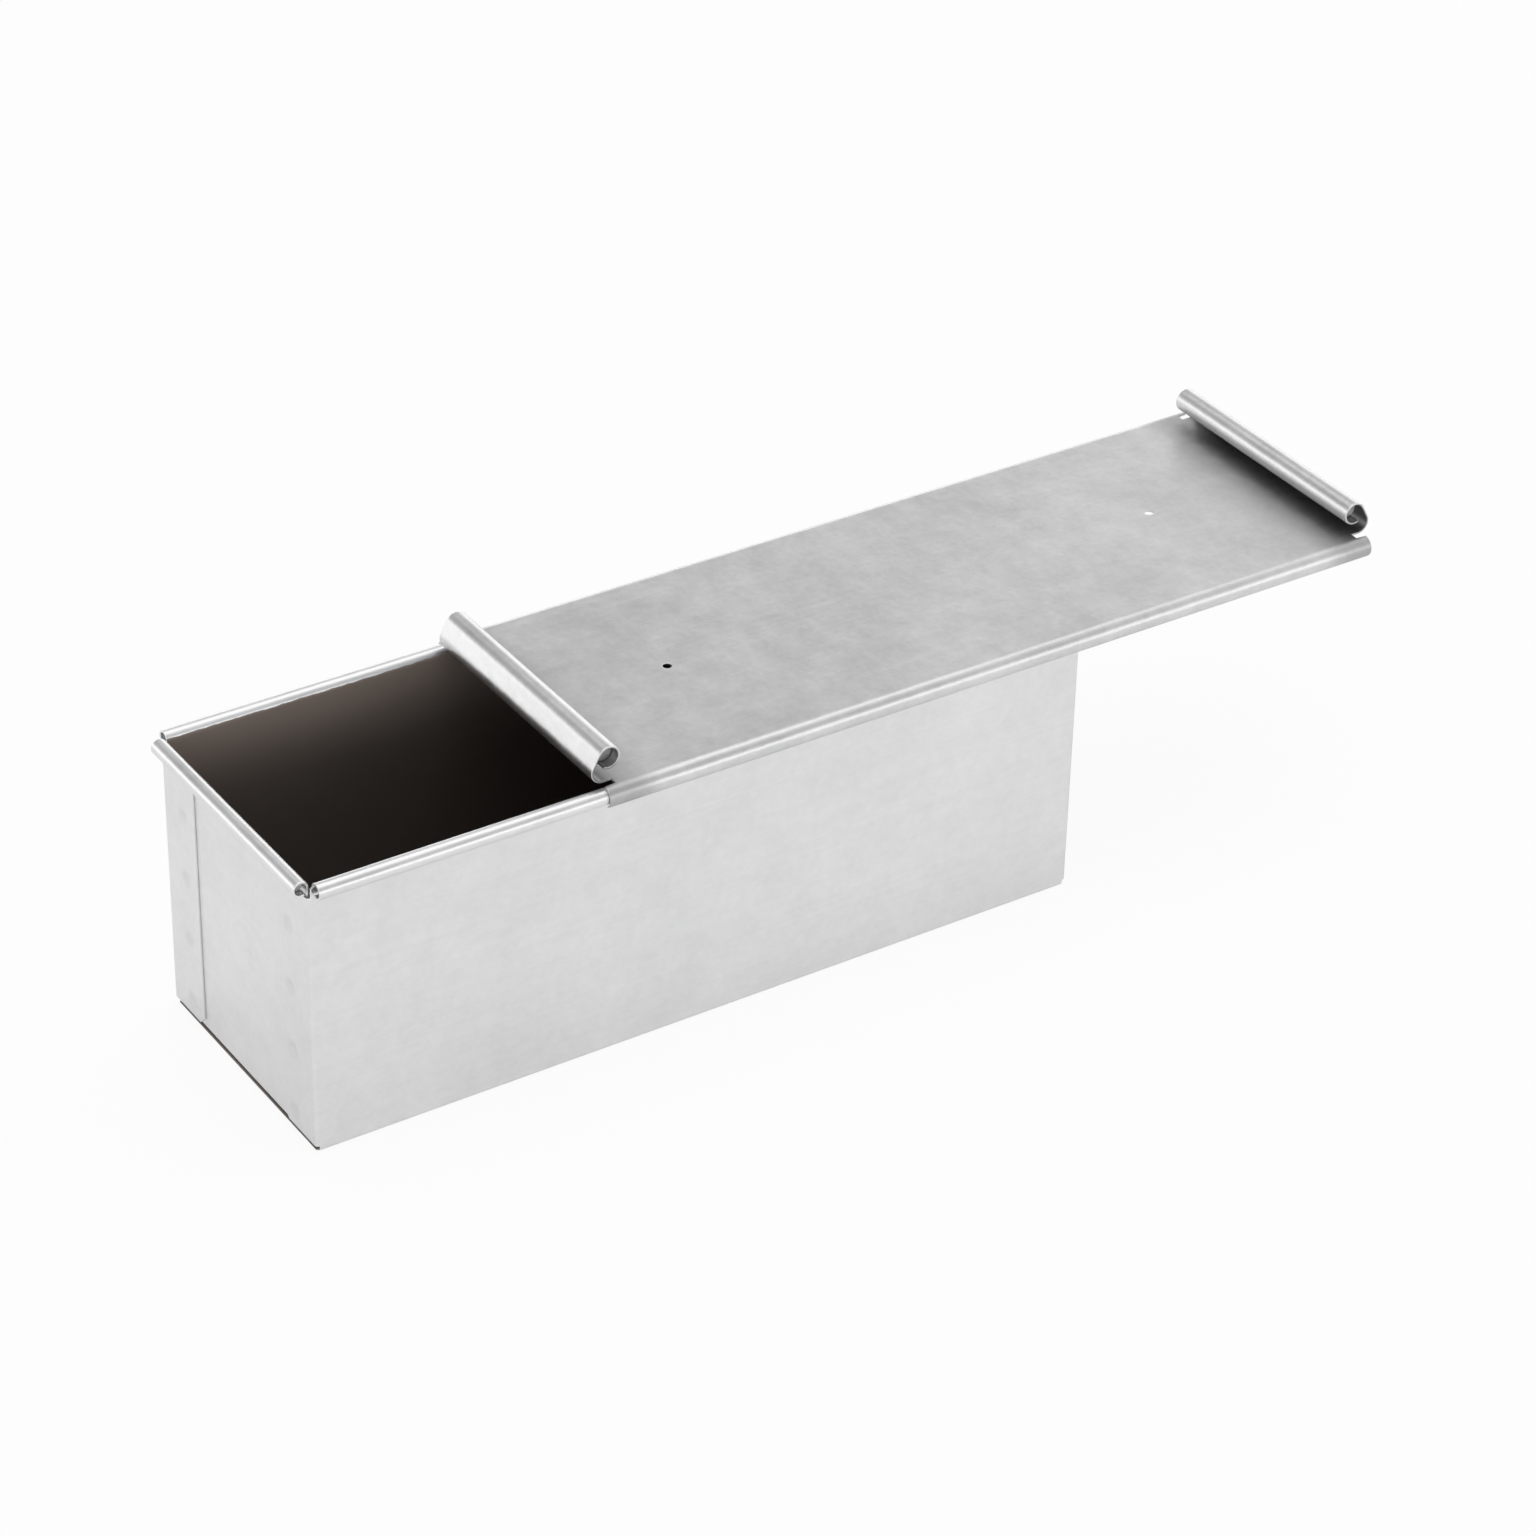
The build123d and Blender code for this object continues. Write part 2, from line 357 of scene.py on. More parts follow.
class SheetMesh:
    """Gathers shells of folded sheet and makes one watertight mesh of them.

    Its points carry four marks: how far a point lies inside the coating, how far from a cut edge and from a weld,
    and how much painted shade darkens and dulls it. UNMARKED is what each says on a skin without that feature."""

    UNMARKED = {"coat": -FAR, "edge": FAR, "weld": FAR, "painted_shade": 0}

    def __init__(self, sizes):
        self.sizes = sizes
        self.points, self.faces, self.marks = [], [], {name: [] for name in self.UNMARKED}

    def add(self, middle, normal, edge, marks=None, dimples=(0, 0), cells=None, closed=(True, True, True, True)):
        """Adds one shell over a grid: skins on both sides of the middle surface, each the skin depth away along
        the normal, less its dimple. edge is the distance from a cut edge. cells says which squares of the grid
        exist. closed says, for the first row, last row, first column and last column, whether strips join the
        skins there, for the whole side or square by square. Marks and dimples are pairs of arrays, for the left
        and the right skin."""
        depth = skin_depth(self.sizes, edge)
        marks = {"edge": (edge, edge), **(marks or {})}
        rows, columns = middle.shape[:2]
        start = sum(len(p) for p in self.points)
        over = start + np.arange(rows * columns).reshape(rows, columns)
        under = over + rows * columns
        cells = np.ones((rows - 1, columns - 1), bool) if cells is None else cells
        squares = (columns - 1, columns - 1, rows - 1, rows - 1)
        sides = [np.broadcast_to(np.asarray(side), (count,)) for side, count in zip(closed, squares)]
        quads = [
            np.stack([over[:-1, :-1], over[1:, :-1], over[1:, 1:], over[:-1, 1:]], axis=-1)[cells],
            np.stack([under[:-1, :-1], under[:-1, 1:], under[1:, 1:], under[1:, :-1]], axis=-1)[cells],
            np.stack([over[0, :-1], over[0, 1:], under[0, 1:], under[0, :-1]], axis=-1)[sides[0]],
            np.stack([over[-1, 1:], over[-1, :-1], under[-1, :-1], under[-1, 1:]], axis=-1)[sides[1]],
            np.stack([over[1:, 0], over[:-1, 0], under[:-1, 0], under[1:, 0]], axis=-1)[sides[2]],
            np.stack([over[:-1, -1], over[1:, -1], under[1:, -1], under[:-1, -1]], axis=-1)[sides[3]],
        ]
        quads = np.concatenate(quads)
        turned = np.cross(np.diff(middle, axis=0)[:, :-1], np.diff(middle, axis=1)[:-1])
        if np.sum(turned * normal[:-1, :-1]) < 0:  # the faces would point inward
            quads = quads[:, ::-1]
        self.faces.append(quads)
        for way, dimple in zip((1, -1), dimples):
            self.points.append((middle + way * (depth - dimple)[..., None] * normal).reshape(-1, 3))
        for name, plain in self.UNMARKED.items():
            for values in marks.get(name, (plain, plain)):
                self.marks[name].append(np.broadcast_to(values, (rows, columns)).reshape(-1))

    def piece(self, name, body, replaced, slot, material):
        """Welds the shells where they meet and makes the piece that stands for a node of the frame."""
        mesh = bpy.data.meshes.new(name)
        mesh.from_pydata(np.concatenate(self.points).tolist(), [], np.concatenate(self.faces).tolist())
        for mark, values in self.marks.items():
            mesh.attributes.new(mark, "FLOAT", "POINT").data.foreach_set("value", np.concatenate(values))
        solid = bmesh.new()
        solid.from_mesh(mesh)
        bmesh.ops.remove_doubles(solid, verts=solid.verts, dist=MERGE_DISTANCE)
        solid.to_mesh(mesh)
        solid.free()
        mesh.polygons.foreach_set("use_smooth", np.ones(len(mesh.polygons), bool))
        mesh.materials.append(material)
        piece = bpy.data.objects.new(name, mesh)
        bpy.context.scene.collection.objects.link(piece)
        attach(piece, body)
        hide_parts(replaced)


def frame_measures(sizes):
    """The places of the folded sheets' middle surfaces, from the frame's boxes and the sheet sizes."""
    low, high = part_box("back_rim_wire")
    m = SimpleNamespace(half=sizes.sheet / 2, rim_y=(low.y + high.y) / 2, rim_z=(low.z + high.z) / 2)
    m.roll = (high.z - low.z) / 2 + sizes.wire_clearance + m.half
    low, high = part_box("right_rim_wire")
    m.rim_x = (low.x + high.x) / 2
    m.wall_y, m.wall_x = m.rim_y - m.roll, m.rim_x - m.roll
    m.pan_top = m.rim_z + m.roll + m.half
    m.floor_bend = sizes.floor_bend + m.half
    m.flap_bend = sizes.flap_bend + m.half
    m.wall_end = m.wall_x + m.half - sizes.flap_bend
    m.flap_x = m.wall_x + sizes.sheet
    m.flap_turn_y = m.wall_y - m.flap_bend
    m.flap_free_y = m.wall_y + m.half - sizes.flap_width
    m.flap_low = sizes.floor_bend + sizes.sheet + sizes.flap_floor_gap
    m.flap_high = m.rim_z - m.roll - m.half - sizes.flap_roll_gap
    m.weld_y = m.wall_y + m.half - sizes.weld_inset
    m.weld_heights = sizes.weld_lowest + sizes.weld_pitch * np.arange(sizes.weld_rows)
    m.foot_weld_x = m.wall_x + m.half - sizes.foot_length / 2
    m.foot_weld_y = sizes.foot_weld_pitch * np.arange(-1, 2)
    low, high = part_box("lid")
    m.lid_middle = (low.x + high.x) / 2
    m.lid_half, m.sheet_end = sizes.lid_length / 2, sizes.lid_length / 2 - sizes.lid_notch
    m.lid_z = m.pan_top + sizes.lid_gap + m.half
    m.curl = m.roll + m.half + sizes.lid_gap + m.half
    low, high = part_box("right_lid_wire")
    m.lid_roll = (high.z - low.z) / 2 + sizes.wire_clearance + m.half
    m.lid_roll_x, m.lid_roll_z = (low.x + high.x) / 2 - m.lid_middle, (low.z + high.z) / 2
    m.lid_bend = sizes.lid_bend + m.half
    m.lid_end_y = m.wall_y - m.half
    m.vent_x = m.lid_half - sizes.vent_inset
    return m


def weld_distance(across, along, centres_across, centres_along):
    """Distance of each point of a grid from the nearest weld of a rectangular set of welds."""
    gaps_across = np.min(np.abs(across[..., None] - np.asarray(centres_across)), axis=-1)
    gaps_along = np.min(np.abs(along[..., None] - np.asarray(centres_along)), axis=-1)
    return np.hypot(gaps_across, gaps_along)


def weld_dimple(sizes, distance):
    """Depth of a weld's dimple: the full depth in its middle, a smooth wall at its rim and a faint raised ring,
    which is a bell curve over the distance."""
    wall_start, wall_width, ring_middle, ring_width, ring_share = 0.36, 0.2, 0.66, 0.1, 0.12
    wall = 1 - smooth_step(distance - sizes.weld * wall_start, sizes.weld * wall_width)
    ring = np.exp(-(((distance - sizes.weld * ring_middle) / (sizes.weld * ring_width)) ** 2))
    return sizes.weld_depth * (wall - ring_share * ring)


def weld_patches(sizes, places, fine=0.125, reach=0.7):
    """Patches for stations round welds, with the fine step and the reach given in weld diameters."""
    return [(place, reach * sizes.weld, fine * sizes.weld) for place in places]


def build_trough(sizes, colours, material):
    """Floor, long walls, long rims and corner flaps: a U-shaped section with rolled ends, carried along X, and
    four flaps, each an L-shaped fold carried up Z and welded to a wall's end."""
    m, rings = frame_measures(sizes), edge_rings(sizes)
    corners = (m.flap_low + sizes.flap_corner, m.flap_high - sizes.flap_corner)
    dense = weld_patches(sizes, m.weld_heights, fine=0.1)
    dense += [(corner, 0.5 * MILLIMETRE, 0.25 * MILLIMETRE) for corner in corners]
    flap_rows = stations(m.flap_low, m.flap_high, 3 * MILLIMETRE, dense, rings, (True, True))
    bend_top, floor_edge = m.floor_bend + m.half, m.wall_y - m.floor_bend
    wall_rows = np.concatenate([
        stations(bend_top, m.flap_low, 0.25 * MILLIMETRE), flap_rows,
        stations(m.flap_high, m.rim_z, 0.9 * MILLIMETRE),
    ])
    wall_rows = np.unique(wall_rows.round(9))
    floor_rows = stations(0, floor_edge, 4 * MILLIMETRE, weld_patches(sizes, m.foot_weld_y[1:]))
    roll_reach = m.wall_x - m.half - sizes.corner_gap
    section = both_sides(joined(
        run((0, m.half), (floor_edge, m.half), floor_rows / floor_edge, m.wall_x + m.half),
        bend((floor_edge, bend_top), m.floor_bend, -math.pi / 2, math.pi / 2, FOLD_STEPS, m.wall_end),
        run((m.wall_y, bend_top), (m.wall_y, m.rim_z), (wall_rows - bend_top) / (m.rim_z - bend_top), m.wall_end),
        bend((m.rim_y, m.rim_z), m.roll, math.pi, -sizes.roll_sweep, ROLL_STEPS, roll_reach),
    ))
    span = length_along(section)
    foot_welds = weld_patches(sizes, (-m.foot_weld_x, m.foot_weld_x))
    core = stations(END_MARGIN - m.wall_end, m.wall_end - END_MARGIN, 5 * MILLIMETRE, foot_welds)
    middle, normal, ends = swept(section, core, rings, "X")
    x, y, z = np.moveaxis(middle, -1, 0)

    on_wall = (np.abs(section[:, 0]) > m.wall_y - TINY) & (section[:, 1] < m.rim_z + TINY)
    beside_flap = on_wall & (section[:, 1] > m.flap_low - TINY) & (section[:, 1] < m.flap_high + TINY)
    flap_edge = np.minimum(section[:, 1] - m.flap_low, m.flap_high - section[:, 1])[:, None]
    edge = np.where(beside_flap[:, None], np.hypot(np.maximum(ends, 0), np.maximum(flap_edge, 0)), ends)
    edge = np.minimum(edge, np.minimum(span, span[-1] - span)[:, None])

    # The walls and the floor stray from flat only in their middle parts. The rolls stray only inward, so that
    # the pan stays inside its box.
    on_roll = (section[:, 1] > m.rim_z - TINY) | (np.abs(section[:, 0]) > m.wall_y + TINY)
    wall_part = within(z, 8, 98, fade=25) * within(x, -140, 140, fade=30)
    wall_ripple = ripple(x, z + np.sign(y) * 0.3, longest=0.16, seed=11)
    wall_stray = sizes.wall_wave * wall_ripple * wall_part * on_wall[:, None]
    floor_part = within(y, -36, 36, fade=15) * within(x, -125, 125, fade=25) * (z < m.floor_bend)
    floor_stray = floor_part * sizes.wall_wave * (0.5 + 0.5 * ripple(x, y, longest=0.12, seed=12))
    roll_ripple = ripple(x, np.sign(y) * 0.2, longest=0.07, seed=13)
    roll_stray = -sizes.roll_wave * (0.5 + 0.5 * roll_ripple) * on_roll[:, None]
    middle = middle + (wall_stray + floor_stray + roll_stray)[..., None] * normal

    floor_weld = weld_distance(x, y, [-m.foot_weld_x, m.foot_weld_x], m.foot_weld_y)
    floor_weld = np.where(np.abs(section[:, 1:2] - m.half) < TINY, floor_weld, FAR)
    coat_edge = m.wall_y - m.floor_bend + m.floor_bend * math.pi / 2 + m.rim_z - bend_top
    coat_edge += m.roll * colours.coating_reach
    coat = coat_edge - np.abs(span - span[-1] / 2)[:, None]
    marks = {"coat": (coat, -FAR), "weld": (FAR, floor_weld)}
    dimples = (0, np.maximum(weld_dimple(sizes, floor_weld), 0))
    shell = SheetMesh(sizes)
    side_rows = ~(beside_flap[:-1] & beside_flap[1:])
    shell.add(middle, normal, edge, marks, dimples, closed=(True, True, side_rows, side_rows))

    # A flap's columns run round the fold, over the weld and out to its free edge, which its cut corners move.
    fold = bend((m.wall_end, m.flap_turn_y), m.flap_bend, math.pi / 2, -math.pi / 2, FLAP_STEPS, 0)
    flap_weld = weld_patches(sizes, (m.weld_y,), fine=0.1, reach=0.6)
    core_y = stations(m.weld_y - 0.62 * sizes.weld, m.flap_turn_y, 2 * MILLIMETRE, flap_weld)[::-1]
    tail = np.concatenate([[3 * rings[-1]], rings[::-1]])
    rows = flap_rows[:, None]
    cut = np.maximum(sizes.flap_corner - np.minimum(rows - m.flap_low, m.flap_high - rows), 0)
    tail_y = m.flap_free_y + cut + tail
    straight_y = np.hstack([np.tile(core_y[1:], (len(rows), 1)), tail_y])
    flat_x = np.full_like(straight_y, m.flap_x)
    flap_x = np.hstack([np.tile(fold[:, 0], (len(rows), 1)), flat_x])
    flap_y = np.hstack([np.tile(fold[:, 1], (len(rows), 1)), straight_y])
    flap_z = rows + np.zeros_like(flap_x)
    normal_x = np.hstack([np.tile(fold[:, 2], (len(rows), 1)), np.ones_like(straight_y)])
    normal_y = np.hstack([np.tile(fold[:, 3], (len(rows), 1)), np.zeros_like(straight_y)])
    slant = np.where(cut > 0, math.sqrt(0.5), 1)
    edge = np.minimum(flap_z - m.flap_low, m.flap_high - flap_z)
    edge = np.minimum(edge, (flap_y - m.flap_free_y - cut) * slant)
    distance = weld_distance(flap_y, flap_z, [m.weld_y], m.weld_heights)
    dimples = (weld_dimple(sizes, distance), 0)
    around = np.concatenate([[0], np.cumsum(np.hypot(np.diff(flap_x[0]), np.diff(flap_y[0])))])
    marks = {"coat": (-FAR, 2 * MILLIMETRE - around), "weld": (distance, FAR)}
    for side_x in (-1, 1):
        for side_y in (-1, 1):
            middle = np.stack([side_x * flap_x, side_y * flap_y, flap_z], axis=-1)
            normal = np.stack([side_x * normal_x, side_y * normal_y, np.zeros_like(flap_z)], axis=-1)
            shell.add(middle, normal, edge, marks, dimples, closed=(True, True, False, True))
    shell.piece("trough_sheet", "pan", "trough", "pan_sheet", material)


def build_end_wall(sizes, colours, material, side, name, replaced):
    """One end wall: a section that runs along the foot, up the wall and round the rolled rim, carried along Y."""
    m, rings, wave = frame_measures(sizes), edge_rings(sizes), 0.7 * sizes.wall_wave
    foot_start = m.wall_x + m.half - sizes.foot_length
    foot_z = 3 * m.half
    foot_end, bend_top = m.wall_x - m.floor_bend, foot_z + m.floor_bend
    foot_reach = m.wall_y - m.half - sizes.floor_bend - sizes.foot_side_gap
    wall_reach, roll_reach = m.wall_y - m.half - sizes.flap_bend, m.wall_y - m.half - sizes.corner_gap
    foot_rows = stations(foot_start, foot_end, 1.5 * MILLIMETRE, rings=rings, ringed=(True, False))
    wall_rows = stations(bend_top, m.rim_z, 2.5 * MILLIMETRE, rings=rings, ringed=(True, False))
    section = joined(
        run((foot_start, foot_z), (foot_end, foot_z), (foot_rows - foot_start) / (foot_end - foot_start), foot_reach),
        bend((foot_end, bend_top), m.floor_bend, -math.pi / 2, math.pi / 2, FOLD_STEPS, foot_reach),
        run((m.wall_x, bend_top), (m.wall_x, m.rim_z), (wall_rows - bend_top) / (m.rim_z - bend_top), wall_reach),
        bend((m.rim_x, m.rim_z), m.roll, math.pi, -sizes.roll_sweep, ROLL_STEPS, roll_reach),
    )
    span = length_along(section)
    core = stations(END_MARGIN - foot_reach, foot_reach - END_MARGIN, 2.5 * MILLIMETRE)
    middle, normal, ends = swept(section, core, rings, "Y")
    x, y, z = np.moveaxis(middle, -1, 0)
    edge = np.minimum(ends, np.minimum(span, span[-1] - span)[:, None])
    wall_part = within(z, 14, 96, fade=20) * (x < m.wall_x + TINY)
    wall_part *= smooth_step(m.flap_free_y - 1 * MILLIMETRE - np.abs(y), 12 * MILLIMETRE)
    on_roll = (section[:, 1] > m.rim_z - TINY) | (section[:, 0] > m.wall_x + TINY)
    stray = wave * ripple(y + side * 0.2, z, longest=0.11, seed=21) * wall_part
    roll_ripple = ripple(y, np.full_like(y, side * 0.3), longest=0.06, seed=22)
    stray = stray - sizes.roll_wave * (0.5 + 0.5 * roll_ripple) * on_roll[:, None]
    middle = middle + stray[..., None] * normal
    coat_edge = foot_end - foot_start + m.floor_bend * math.pi / 2 + m.rim_z - bend_top
    coat_edge += m.roll * colours.coating_reach
    flip = np.array([side, 1, 1])
    shell = SheetMesh(sizes)
    shell.add(middle * flip, normal * flip, edge, {"coat": ((coat_edge - span)[:, None], -FAR)})
    shell.piece(name, "pan", replaced, "pan_sheet", material)


def build_lid(sizes, material):
    """The lid: a flat section with curled sides, carried along X, with two round vents, and at each end an
    upstand with a roll, carried along Y and welded to the sheet's end."""
    m, rings = frame_measures(sizes), edge_rings(sizes)
    square, fine = 4 * MILLIMETRE, 1 * MILLIMETRE  # half the square round a vent, and the grid's step there
    sheet_end = m.sheet_end
    end_rows = stations(-m.lid_end_y, m.lid_end_y, 2.5 * MILLIMETRE, [(0, square, fine)], rings, (True, True))
    flat_rows = np.concatenate([end_rows[end_rows > -TINY], stations(m.lid_end_y, m.rim_y, 0.6 * MILLIMETRE)])
    flat_rows = np.unique(flat_rows.round(9))
    section = both_sides(joined(
        run((0, m.lid_z), (m.rim_y, m.lid_z), flat_rows / m.rim_y, sheet_end),
        bend((m.rim_y, m.rim_z), m.curl, math.pi / 2, -sizes.curl_sweep, CURL_STEPS, m.lid_half),
    ))
    span = length_along(section)
    vents = [(side * m.vent_x, square, fine) for side in (-1, 1)]
    core = stations(END_MARGIN - sheet_end, sheet_end - END_MARGIN, 3 * MILLIMETRE, vents)
    middle, normal, ends = swept(section, core, rings, "X")
    x, y, z = np.moveaxis(middle, -1, 0)
    at_upstand = (np.abs(section[:, 0]) < m.lid_end_y + TINY) & (np.abs(section[:, 1] - m.lid_z) < TINY)
    beside = np.hypot(np.maximum(ends, 0), np.maximum(m.lid_end_y - np.abs(y), 0))
    edge = np.where(at_upstand[:, None], beside, ends)
    edge = np.minimum(edge, np.minimum(span, span[-1] - span)[:, None])

    def rise(x, y):
        """Upward stray of the flat sheet: a ripple between nothing and the lid's wave, fading out at the rims."""
        part = within(y, -43, 43, fade=20) * smooth_step(sheet_end - 8 * MILLIMETRE - np.abs(x), 25 * MILLIMETRE)
        return sizes.lid_wave * (0.5 + 0.5 * ripple(x, y, longest=0.13, seed=31)) * part

    on_curl = section[:, 1] < m.lid_z - TINY
    curl_stray = -sizes.roll_wave * (0.5 + 0.5 * ripple(x, np.sign(y) * 0.3, longest=0.08, seed=32))
    curl_stray = curl_stray * smooth_step(np.abs(y) - m.rim_y, 2 * MILLIMETRE)
    stray = np.where(on_curl[:, None], curl_stray, rise(x, y))
    offset = np.array([m.lid_middle, 0, 0])
    # Painted shade, with a little more roughness: the lid's top darkens over the last 20 mm before each raised end.
    dull = 1 - smooth_step(sheet_end - np.abs(x) - 4 * MILLIMETRE, 16 * MILLIMETRE)
    cell_x = (x[:-1, :-1] + x[1:, 1:]) / 2
    cell_y = (y[:-1, :-1] + y[1:, 1:]) / 2
    flat_cell = np.abs(section[:-1, 1:2] - m.lid_z) < TINY
    cells = ~((np.abs(np.abs(cell_x) - m.vent_x) < square) & (np.abs(cell_y) < square) & flat_cell)
    side_rows = ~(at_upstand[:-1] & at_upstand[1:])
    shell = SheetMesh(sizes)
    shell.add(middle + stray[..., None] * normal + offset, normal, edge, {"painted_shade": (0.5 * dull, 0)}, cells=cells,
              closed=(True, True, side_rows, side_rows))

    # Each vent sits in a square of its own, whose grid runs from the square's outline in to the round edge.
    edge_steps = np.arange(-square, square + fine / 2, fine)
    one_side = np.stack([np.full_like(edge_steps, square), edge_steps], axis=-1)[:-1]
    turns = [np.array([[math.cos(a), -math.sin(a)], [math.sin(a), math.cos(a)]]) for a in np.arange(4) * math.pi / 2]
    outline = np.concatenate([one_side @ turn.T for turn in turns] + [one_side[:1]])
    radius = np.hypot(*outline.T)
    direction = outline / radius[:, None]
    clearance = radius - sizes.vent / 2
    share = np.array([1, 0.75, 0.5, 0.3])[:, None]
    gap = np.concatenate([share * clearance, rings[::-1][:, None] + np.zeros_like(clearance)])
    spot = direction * (sizes.vent / 2 + gap)[..., None]
    for side in (-1, 1):
        x, y = side * m.vent_x + spot[..., 0], spot[..., 1]
        middle = np.stack([m.lid_middle + x, y, m.lid_z + rise(x, y)], axis=-1)
        normal = np.zeros_like(middle) + np.array([0, 0, 1])
        shell.add(middle, normal, gap, closed=(False, True, False, False))

    # At each end the sheet goes on, turns up, leans inward and rolls inward round its wire.
    lean = np.array([math.cos(sizes.lid_lean), math.sin(sizes.lid_lean)])
    roll_middle = np.array([m.lid_roll_x, m.lid_roll_z])
    face_top = roll_middle + m.lid_roll * lean
    bend_z, roll_turn = m.lid_z + m.lid_bend, sizes.roll_sweep - sizes.lid_lean
    bend_middle = np.array([face_top[0] - (m.lid_bend - (face_top[1] - bend_z) * lean[1]) / lean[0], bend_z])
    section = joined(
        run((sheet_end, m.lid_z), (bend_middle[0], m.lid_z), np.linspace(0, 1, 4), m.lid_end_y),
        bend(bend_middle, m.lid_bend, -math.pi / 2, math.pi / 2 + sizes.lid_lean, LID_FOLD_STEPS, m.lid_end_y),
        run(bend_middle + m.lid_bend * lean, face_top, np.linspace(0, 1, 6), m.lid_end_y),
        bend(roll_middle, m.lid_roll, sizes.lid_lean, roll_turn, LID_ROLL_STEPS, m.lid_end_y),
    )
    span = length_along(section)
    middle, normal, ends = swept(section, end_rows[len(rings):-len(rings)], rings, "Y")
    edge = np.minimum(ends, (span[-1] - span)[:, None])
    # Painted shade inside the fold, the leaning face and the roll, and on the roll's underside over the lid.
    around = np.arctan2(section[:, 1] - roll_middle[1], section[:, 0] - roll_middle[0]) % (2 * math.pi)
    on_roll = span > span[-1] - m.lid_roll * roll_turn - TINY
    inner_painted_shade = np.where(on_roll, 0.5, 0.5 + 0.5 * smooth_step(span, 6 * MILLIMETRE))
    outer_painted_shade = smooth_step(around - math.radians(205), math.radians(40)) * on_roll
    marks = {"painted_shade": (inner_painted_shade[:, None], outer_painted_shade[:, None])}
    away = smooth_step(span - span[np.argmax(section[:, 1] > bend_z - TINY)], 4 * MILLIMETRE)[:, None]
    for side in (-1, 1):
        wobble = ripple(middle[..., 1], np.full(middle.shape[:2], side * 0.4), longest=0.06, seed=33)
        stray = sizes.roll_wave * (0.5 + 0.5 * wobble) * away
        flip = np.array([side, 1, 1])
        placed = (middle + stray[..., None] * normal) * flip + offset
        shell.add(placed, normal * flip, edge, marks, closed=(False, True, True, True))
    shell.piece("lid_sheet", "lid", "lid", "lid_sheet", material)


class Signal:
    """An output socket. Arithmetic on it adds Math nodes to its tree."""

    def __init__(self, socket):
        self.socket = socket

    def _math(self, operation, first, second):
        tree = self.socket.id_data
        node = tree.nodes.new("ShaderNodeMath")
        node.operation = operation
        for socket, value in zip(node.inputs, (first, second)):
            if isinstance(value, Signal):
                tree.links.new(value.socket, socket)
            else:
                socket.default_value = value
        return Signal(node.outputs[0])

    def __add__(self, other):
        return self._math("ADD", self, other)

    def __radd__(self, other):
        return self._math("ADD", other, self)

    def __sub__(self, other):
        return self._math("SUBTRACT", self, other)

    def __rsub__(self, other):
        return self._math("SUBTRACT", other, self)

    def __mul__(self, other):
        return self._math("MULTIPLY", self, other)

    def __rmul__(self, other):
        return self._math("MULTIPLY", other, self)


class Finish:
    """The nodes of a material, or of the surroundings, with one method that adds any node."""

    def __init__(self, owner, coordinates="Object"):
        self.owner = owner
        owner.use_nodes = True
        self.tree = owner.node_tree
        self.tree.nodes.clear()
        self.place = self.node("ShaderNodeTexCoord", output=coordinates)

    def node(self, kind, settings=None, inputs=None, output=0):
        """Adds a node, sets its settings, then the values or links of its sockets, and gives one output."""
        node = self.tree.nodes.new(kind)
        for key, value in (settings or {}).items():
            setattr(node, key, value)
        for key, value in (inputs or {}).items():
            if isinstance(value, Signal):
                self.tree.links.new(value.socket, node.inputs[key])
            else:
                node.inputs[key].default_value = value
        return Signal(node.outputs[output]) if node.outputs else node

    def noise(self, scale, detail=2.0, rough=0.5, stretch=None):
        """Noise between -0.5 and 0.5, with scale cells a metre, or stretch cells along the axes where given."""
        place = self.place
        if stretch:
            place = self.node("ShaderNodeMapping", inputs={"Vector": place, "Scale": stretch})
        inputs = {"Vector": place, "Scale": scale, "Detail": detail, "Roughness": rough}
        return self.node("ShaderNodeTexNoise", inputs=inputs) - 0.5

    def step(self, value, low, high, first=0.0, last=1.0):
        """A smooth step of a value: first up to low, last from high on."""
        inputs = {"Value": value, "From Min": low, "From Max": high, "To Min": first, "To Max": last}
        return self.node("ShaderNodeMapRange", {"interpolation_type": "SMOOTHSTEP"}, inputs)

    def mark(self, name):
        """The value of a mark that the sheet's mesh carries."""
        return self.node("ShaderNodeAttribute", {"attribute_name": name}, output="Fac")

    def mix(self, share, first, second):
        """A colour between two colours. A Mix node takes these at its sockets 6 and 7, and gives one at 2."""
        return self.node("ShaderNodeMix", {"data_type": "RGBA"}, {0: share, 6: first, 7: second}, output=2)

    def bump(self, height):
        """The normal of a surface whose height in metres is given."""
        return self.node("ShaderNodeBump", inputs={"Strength": 1.0, "Distance": 1.0, "Height": height})

    def done(self, **inputs):
        """Closes the material with a Principled shader and returns it."""
        named = {key.replace("_", " ").title(): value for key, value in inputs.items()}
        shader = self.node("ShaderNodeBsdfPrincipled", inputs=named)
        self.node("ShaderNodeOutputMaterial", inputs={"Surface": shader})
        return self.owner


def tone(colour, gain):
    """A colour with alpha, made lighter or darker by a gain."""
    return (*(min(part * gain, 1) for part in colour), 1)


